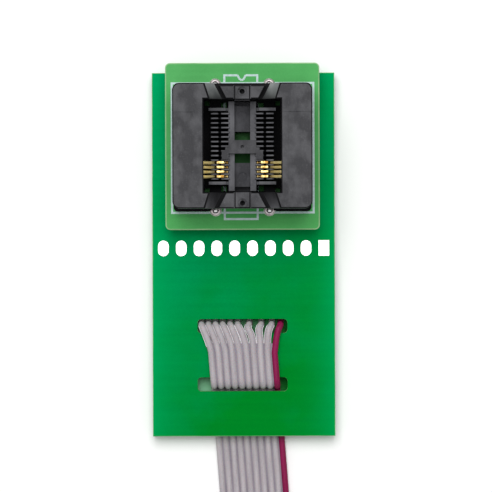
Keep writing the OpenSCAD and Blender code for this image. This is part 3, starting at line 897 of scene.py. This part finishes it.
@dataclass
class TestSocket:
    """The open-top socket: base, stop, cover, springs and stamped contacts.

    post_side_mm and wing_side_mm bound the cover's valleys along X: a half width at
    valley_start_mm from the middle, and how much it grows with each mm beyond.
    """

    contact_count: int = 4
    spring_count: int = 4
    spring_low_mm: float = 8.04
    spring_high_mm: float = 14.19
    travel_mm: float = 2.2
    middle_x_mm: float = -0.12
    middle_y_mm: float = 14.55
    cover_top_mm: float = 15.34
    cover_edge_mm: float = 0.15
    edge_band_mm: float = 0.27
    wing_step_mm: float = 0.55
    valley_mm: float = 1.6
    valley_from_mm: float = 6.3
    valley_start_mm: float = 6.4
    post_side_mm: Pair = (2.25, 0.52)
    wing_side_mm: Pair = (4.57, 0.32)
    slack_mm: float = 0.06
    trench_mm: float = 11.0
    rail_half_mm: float = 1.93
    rail_top_mm: float = 11.3
    channel_half_mm: float = 1.15
    outer_ribs_mm: Pair = (18.85, 9.75)
    rib_reach_mm: float = 0.17
    crook_mm: Pair = (3.56, 3.86)

    def build(self) -> None:
        """Dresses every piece of the socket."""
        blacks = [Finish.BASE, Finish.BASE_SHADE, Finish.BASE_CHANNEL_SHADE]
        dress_node("socket_base", Rounding(0.035), blacks, paint=self.paint_deep)
        dress_node("device_stop", Rounding(0.05), [Finish.COVER])
        dress_node(
            "socket_cover",
            Rounding(),
            [Finish.COVER, Finish.COVER_SHADE, Finish.VALLEY_NEAR_SHADE, Finish.VALLEY_FAR_LIT],
            Body.COVER,
            self.finish_cover,
        )
        self.build_contacts()
        self.build_springs()

    def paint_deep(self, bm: BMesh) -> None:
        """Paints shade: gives the unlit faces beside the rails material 1, painted near-black, and
        the channel's 2, a darker painted shade.
        """
        for face in bm.faces:
            middle = face.calc_center_median() / MM
            off_middle = abs(middle.x - self.middle_x_mm)
            outer_rib = any(abs(middle.y - y) < self.rib_reach_mm for y in self.outer_ribs_mm)
            if off_middle > self.rail_half_mm:
                face.material_index = int(middle.z < self.trench_mm or outer_rib)
            elif off_middle < self.channel_half_mm and middle.z < self.rail_top_mm - 0.1:
                face.material_index = 2

    def paint_valleys(self, bm: BMesh) -> None:
        """Paints light and shade: the walls and floors of the cover's valleys get material 1,
        painted shade, their near slopes 2, painted shade, and their far slopes 3, painted light.
        """
        for face in bm.faces:
            face.normal_update()
            middle = face.calc_center_median() / MM
            off_x = abs(middle.x - self.middle_x_mm)
            off_y = abs(middle.y - self.middle_y_mm)
            if off_y <= self.valley_from_mm:
                continue
            post_x, wing_x = (
                half + (off_y - self.valley_start_mm) * growth
                for half, growth in (self.post_side_mm, self.wing_side_mm)
            )
            across = post_x - self.slack_mm < off_x < wing_x + self.slack_mm
            depth = self.cover_top_mm - middle.z
            if abs(depth - self.valley_mm) < self.slack_mm:
                face.material_index = 1
            elif across and self.slack_mm / 2 < depth < self.valley_mm + 0.1:
                slope = 0.3 < face.normal.z < 0.98
                far = middle.y > self.middle_y_mm
                face.material_index = (3 if far else 2) if slope else 1

    def finish_cover(self, bm: BMesh) -> None:
        """Paints the valleys, then rounds the long upper edges in material 1, near-black plastic
        painted as shade.
        """
        self.paint_valleys(bm)
        top = self.cover_top_mm * MM

        def deep(face: BMFace) -> bool:
            """Whether a face reaches well below the top of the wings."""
            return min(v.co.z for v in face.verts) < top - self.wing_step_mm * MM

        edges = [
            e
            for e in sharp_edges(bm)
            if all(v.co.z > top - self.edge_band_mm * MM for v in e.verts)
            and sum(deep(face) for face in e.link_faces) == 1
        ]
        bevel(bm, edges, self.cover_edge_mm * MM, 3, 1, clamp=False)

    def paint_contact(self, bm: BMesh) -> None:
        """Cuts a contact at the crook of its lever: material 1, painted shade, in it and 2 on the
        head.
        """
        near, far = self.crook_mm
        for off in (-far, -near, near, far):
            bmesh.ops.bisect_plane(
                bm,
                geom=[*bm.verts, *bm.edges, *bm.faces],
                dist=1e-7,
                plane_co=mm(self.middle_x_mm + off, 0.0),
                plane_no=Vector((1.0, 0.0, 0.0)),
            )
        for face in bm.faces:
            off = abs(face.calc_center_median().x / MM - self.middle_x_mm)
            face.material_index = 0 if off > far else 1 if off > near else 2

    def build_contacts(self) -> None:
        """Dresses the fixed and the moving half of each contact."""
        bodies = {"left": Body.LEFT, "right": Body.RIGHT}
        golds = [Finish.GOLD, Finish.GOLD_CROOK_SHADE, Finish.GOLD_HEAD]
        for side, body in bodies.items():
            for i in range(1, self.contact_count + 1):
                for half, rides in (("seat", Body.CARRIER), ("arm", body)):
                    node = f"contact_{half}_{side}_{i}"
                    rounding = Rounding(0.06, 3)
                    dress_node(node, rounding, golds, rides, self.paint_contact)

    def build_springs(self) -> None:
        """Dresses the return springs, each with a mesh of its own. The real springs shorten as the
        cover goes down.
        """
        for i in range(1, self.spring_count + 1):
            node, steel = f"return_spring_{i}", [Finish.STEEL]
            spring = dress_node(node, Rounding(), steel, smooth_deg=80.0)
            spring.modifiers.clear()
            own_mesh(spring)


@dataclass
class Ribbon:
    """Ten joined wires: fanned at the pads, threaded through the board, then free.

    Beyond the far slot the first wires ease over to the joined ribbon: ease is the
    first one's exponent, and what each further wire adds. bend_x_mm gives the last
    wires' places at the first levels of bend_y_mm.
    """

    wire_count: int = 10
    pitch_mm: float = 1.0
    wire_r_mm: float = 0.45
    web_mm: float = 0.3
    torn_mm: Pair = (1.02, 0.1)
    torn_ends_mm: Pair = (0.4, 0.1)
    sides: int = 18
    pad_pitch_mm: float = 2.54
    pad_y_mm: float = 0.3
    start_y_mm: float = -0.95
    fan_end_y_mm: float = -4.69
    up_y_mm: float = -10.55
    merge_y_mm: float = -14.6
    split_y_mm: float = -13.2
    down_y_mm: float = -19.35
    exit_mm: Pair = (0.4, -21.5)
    run_z_mm: float = 0.45
    bridge_z_mm: float = 3.15
    dip_r_mm: float = 0.75
    crest_r_mm: float = 1.0
    drift: float = 0.08
    fan_share: float = 0.45
    ease: Pair = (1.3, 0.06)
    blur_mm: tuple[float, ...] = (-0.25, 0.0, 0.0, 0.25)
    route_steps: int = 4
    length_mm: float = 130.0
    fan_x_mm: tuple[float, ...] = (-6.05, -5.07, -4.06, -3.03, -1.98, -0.92, 0.8, 2.5, 4.0, 5.25)
    bend_y_mm: tuple[float, ...] = (-10.55, -10.9, -11.29, -12.06, -12.83, -13.6, -14.6)
    bend_x_mm: tuple[tuple[float, ...], ...] = (
        (-0.92, -0.76, -0.54, -0.18, 0.08, 0.25),
        (0.8, 0.48, 0.64, 1.08, 1.23, 1.32),
        (2.5, 2.22, 2.12, 2.22, 2.28, 2.34),
        (4.0, 3.74, 3.54, 3.4, 3.35, 3.35),
        (5.25, 5.1, 4.9, 4.7, 4.55, 4.48),
    )
    route_mm: tuple[Triple, ...] = (
        (0.4, -21.5, 0.45),
        (1.0, -29.0, 0.45),
        (1.6, -37.0, 0.45),
        (2.3, -45.0, 0.45),
        (2.9, -53.0, 0.45),
        (3.5, -61.0, 0.45),
        (4.0, -69.0, 0.45),
        (4.4, -77.0, 0.45),
        (4.8, -85.0, 0.45),
        (5.1, -93.0, 0.45),
        (5.3, -101.0, 0.45),
        (5.4, -109.0, 0.45),
        (5.5, -117.0, 0.45),
        (5.5, -125.0, 0.502),
        (5.5, -132.0, 0.71),
        (5.5, -138.0, 1.295),
        (5.5, -143.0, 1.75),
        (5.5, -147.0, 1.75),
        (5.5, -151.5, 1.75),
    )

    def build(self, plug: list[Object]) -> None:
        """Builds the held stretch and the free stretch.

        Args:
            plug: The pieces on the free stretch's far end. Not used.
        """
        self.build_held()
        self.build_free()

    def rise(self) -> list[Pair]:
        """The whole held stretch's [y, z] line, in millimetres."""
        low, high = self.run_z_mm, self.bridge_z_mm
        dip, crest = self.dip_r_mm, self.crest_r_mm
        up, down = self.up_y_mm, self.down_y_mm

        def arc(y: float, z: float, radius: float, degrees: range) -> list[Pair]:
            """Points on a circle round [y, z]."""
            turns = [math.radians(d) for d in degrees]
            return [(y + radius * math.cos(a), z + radius * math.sin(a)) for a in turns]

        span = self.start_y_mm - (up + dip)
        flat = (up - crest) - (down + crest)
        return [
            *((self.start_y_mm - span * k / 12, low) for k in range(12)),
            *arc(up + dip, low + dip, dip, range(-90, -181, -15)),
            *arc(up - crest, high - crest, crest, range(0, 91, 10)),
            *((up - crest - flat * k / 20, high) for k in range(1, 20)),
            *arc(down + crest, high - crest, crest, range(90, 181, 10)),
            *arc(down - dip, low + dip, dip, range(0, -91, -15)),
            (self.exit_mm[1], low),
        ]

    def joined_x(self, wire: int, y: float) -> float:
        """Where a wire lies across the ribbon once it is joined to the others."""
        middle = self.exit_mm[0] + self.drift * (self.exit_mm[1] - y)
        return middle + (wire - (self.wire_count - 1) / 2) * self.pitch_mm

    def wire_x(self, wire: int, y: float) -> float:
        """Where a wire lies across the board.

        Args:
            wire: The wire's number from the left.
            y: The place along the ribbon, in millimetres.

        Returns:
            The wire's x in millimetres.
        """
        pad_x = (wire - (self.wire_count - 1) / 2) * self.pad_pitch_mm
        fan_x = self.fan_x_mm[wire]
        bend_x = pad_x + (fan_x - pad_x) * self.fan_share
        if y > self.fan_end_y_mm:
            share = (self.start_y_mm - y) / (self.start_y_mm - self.fan_end_y_mm)
            return pad_x + (bend_x - pad_x) * share
        if y > self.up_y_mm:
            run = self.fan_end_y_mm - self.up_y_mm - self.dip_r_mm
            return bend_x + (fan_x - bend_x) * min(1.0, (self.fan_end_y_mm - y) / run)
        if y <= self.merge_y_mm:
            return self.joined_x(wire, y)
        first_bent = self.wire_count - len(self.bend_x_mm)
        if wire < first_bent:
            share = (self.up_y_mm - y) / (self.up_y_mm - self.merge_y_mm)
            eased = 1 - (1 - share) ** (self.ease[0] + self.ease[1] * wire)
            return fan_x + (self.joined_x(wire, self.merge_y_mm) - fan_x) * eased
        bends = (*self.bend_x_mm[wire - first_bent], self.joined_x(wire, self.merge_y_mm))
        knots = list(zip(self.bend_y_mm, bends, strict=True))
        return sum(self.between(knots, y + step) for step in self.blur_mm) / len(self.blur_mm)

    @staticmethod
    def between(knots: list[Pair], y: float) -> float:
        """The x at y on a broken line.

        Args:
            knots: The line's [y, x] corners, towards smaller y.
            y: Where to read it.

        Returns:
            The line's x, which stays as it is beyond the ends.
        """
        for (y0, x0), (y1, x1) in pairwise(knots):
            if y >= y1:
                return x0 + (x1 - x0) * min(1.0, max(0.0, (y0 - y) / (y0 - y1)))
        return knots[-1][1]

    def build_held(self) -> None:
        """Builds the wires on the board, and the webs that join them."""
        line = self.rise()
        section = round_section(self.wire_r_mm * MM, self.sides)
        web = box_section(self.pitch_mm * MM, self.web_mm * MM)
        grey, red = bmesh.new(), bmesh.new()
        last = self.wire_count - 1
        for wire in range(self.wire_count):
            path = [mm(self.wire_x(wire, y), y, z) for y, z in line]
            sweep(red if wire == last else grey, path, section)
        torn = box_section(*(size * MM for size in self.torn_mm))
        joined = [(y, z) for y, z in line if y < self.split_y_mm]
        beyond, short = self.torn_ends_mm
        split = [(y, z) for y, z in line if self.split_y_mm - beyond < y < self.up_y_mm - short]
        for wire in range(last):
            middles = [(self.wire_x(wire, y) + self.wire_x(wire + 1, y)) / 2 for y, _ in joined]
            path = [mm(x, y, z) for x, (y, z) in zip(middles, joined, strict=True)]
            sweep(grey, path, web, 1)
            sweep(grey, [mm(self.wire_x(wire, y), y, z) for y, z in split], torn, 2)
        greys = [Finish.GREY_PVC, Finish.WEB_PVC_SHADE, Finish.TORN_PVC_HIGHLIGHT]
        held = add_piece("ribbon_held", grey, greys, smooth_deg=50.0)
        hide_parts("ribbon_grey_wires")
        edge = add_piece("ribbon_held_red", red, [Finish.RED_PVC], smooth_deg=50.0)
        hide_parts("ribbon_red_wire")

    def free_line(self) -> list[Vector]:
        """The free stretch's centreline as a smooth line through the route."""
        route = [mm(*point) for point in self.route_mm]
        line = []
        for k, (start, end) in enumerate(pairwise(route)):
            before = route[max(k - 1, 0)]
            after = route[min(k + 2, len(route) - 1)]
            for step in range(self.route_steps):
                t = step / self.route_steps
                line.append(
                    0.5
                    * (
                        2 * start
                        + (end - before) * t
                        + (2 * before - 5 * start + 4 * end - after) * t**2
                        + (3 * start - before - 3 * end + after) * t**3
                    )
                )
        low = self.run_z_mm * MM
        return [Vector((p.x, p.y, max(p.z, low))) for p in [*line, route[-1]]]

    def build_free(self) -> None:
        """Builds the free stretch, a flat cord.
        """
        bm = bmesh.new()
        line = self.free_line()
        section = round_section(self.wire_r_mm * MM, self.sides)
        web = box_section(self.pitch_mm * MM, self.web_mm * MM)
        last = self.wire_count - 1
        for wire in range(self.wire_count):
            shift = mm((wire - last / 2) * self.pitch_mm, 0.0)
            sweep(bm, [p + shift for p in line], section, 2 if wire == last else 0)
        for wire in range(last):
            shift = mm((wire + 0.5 - last / 2) * self.pitch_mm, 0.0)
            sweep(bm, [p + shift for p in line], web, 1)
        colours = [Finish.GREY_PVC, Finish.WEB_PVC_SHADE, Finish.RED_PVC]
        lead = add_piece("ribbon_free", bm, colours, smooth_deg=50.0)
        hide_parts("ribbon_lead")


@dataclass
class RibbonPlug:
    """The socket connector clamped on the ribbon's far end."""

    edge_mm: float = 0.1
    contact_edge_mm: float = 0.03

    def build(self) -> list[Object]:
        """Dresses the plug's pieces, and returns them."""
        moulding, contact = Rounding(self.edge_mm), Rounding(self.contact_edge_mm)
        return [
            dress_node("plug_body", moulding, [Finish.PLUG]),
            dress_node("plug_cap", moulding, [Finish.PLUG]),
            dress_node("plug_contacts", contact, [Finish.GOLD]),
        ]


# ---------- stage ----------


@dataclass
class Stage:
    """The camera, the lights and the pale floor."""

    camera_mm: Triple = (0.34, 0.61, 452.6)
    lens_mm: float = 231.0
    roll_deg: float = -0.2
    world_level: float = 0.5
    key_mm: Triple = (-40.0, 210.0, 520.0)
    key_size_mm: float = 440.0
    key_watts: float = 2.3
    aim_mm: Triple = (0.0, 5.0, 0.0)
    floor_size_m: float = 3.0
    floor_mm: float = -0.04
    # A sheet of painted shade under the board: its height, size and the fade of its green tint
    # across it.
    under_shade_mm: float = -0.02
    under_shade_size_mm: Pair = (23.0, 46.0)
    under_shade_fade_mm: float = 6.0
    white: Colour = (1.0, 1.0, 1.0, 1.0)

    def place_camera(self) -> None:
        """Looks straight down at the board."""
        data = bpy.data.cameras.new("camera")
        data.sensor_width = 36.0
        data.lens = self.lens_mm
        data.clip_start = 0.01
        data.clip_end = 10.0
        camera = bpy.data.objects.new("camera", data)
        camera.location = mm(*self.camera_mm)
        camera.rotation_euler = (0.0, 0.0, math.radians(self.roll_deg))
        bpy.context.scene.collection.objects.link(camera)
        bpy.context.scene.camera = camera

    def light(self) -> None:
        """Adds a soft lamp beyond the far side, and an even white sky."""
        data = bpy.data.lights.new("key", "AREA")
        data.shape = "DISK"
        data.size = self.key_size_mm * MM
        data.energy = self.key_watts
        key = bpy.data.objects.new("key", data)
        key.location = mm(*self.key_mm)
        aim = mm(*self.aim_mm) - key.location
        key.rotation_euler = aim.to_track_quat("-Z", "Y").to_euler()
        bpy.context.scene.collection.objects.link(key)
        world = bpy.data.worlds.new("sky")
        world.use_nodes = True
        sky = Nodes(world.node_tree)
        rays = sky.add("ShaderNodeLightPath", {}).outputs
        seen = rays["Is Camera Ray"]
        for name in ("Is Glossy Ray", "Is Transmission Ray"):
            seen = sky.maths("MAXIMUM", seen, rays[name])
        background = sky.tree.nodes["Background"].inputs
        sky.feed(background["Strength"], sky.remap(seen, 0.0, 1.0, self.world_level, 1.0))
        sky.feed(background["Color"], self.white)
        bpy.context.scene.world = world

    def lay(self, name: str, size: Vector, level_mm: float, material: Material) -> None:
        """Adds a flat sheet that isn't part of the object.

        Args:
            name: The sheet's name.
            size: Its width and length, in metres.
            level_mm: Its height.
            material: Its material.
        """
        bm = bmesh.new()
        stretch = Matrix.Diagonal((size.x, size.y, 1, 1))
        matrix = Matrix.Translation(mm(0.0, 0.0, level_mm)) @ stretch
        bmesh.ops.create_grid(bm, x_segments=1, y_segments=1, size=0.5, matrix=matrix)
        mesh = bpy.data.meshes.new(name)
        bm.to_mesh(mesh)
        bm.free()
        mesh.materials.append(material)
        sheet = bpy.data.objects.new(name, mesh)
        bpy.context.scene.collection.objects.link(sheet)

    def lay_floor(self) -> None:
        """Adds the white floor, and a sheet of painted shade under the board, tinted by the green
        light that the board throws on it.
        """
        paper = Recipe("white_paper")
        paper.shade(Base_Color=self.white, Roughness=0.9, Specular_IOR_Level=0.0)
        size = Vector((self.floor_size_m, self.floor_size_m))
        self.lay("floor", size, self.floor_mm, paper.material)
        # Painted shade under the board, pale green on the left to dark green on the right, seen
        # through the slots.
        under_shade = Recipe("painted_green_shade")
        share = under_shade.remap(under_shade.axes()[0], -self.under_shade_fade_mm * MM, self.under_shade_fade_mm * MM)
        tint = under_shade.tone(share, (150, 214, 172), (30, 130, 48))
        under_shade.shade(Base_Color=tint, Roughness=0.9, Specular_IOR_Level=0.0)
        self.lay("painted_shade_under_board", mm(*self.under_shade_size_mm), self.under_shade_mm, under_shade.material)

    def build(self) -> None:
        """Sets the stage."""
        self.place_camera()
        self.light()
        self.lay_floor()
        bpy.context.scene.view_settings.view_transform = "Standard"


def main() -> None:
    """Builds the stage and every sub-assembly in order."""
    logging.basicConfig(level=logging.INFO, format="%(name)s: %(message)s")
    Stage().build()
    CableBoard().build()
    AdapterBoard().build()
    TestSocket().build()
    Ribbon().build(RibbonPlug().build())


if __name__ == "__main__":
    main()
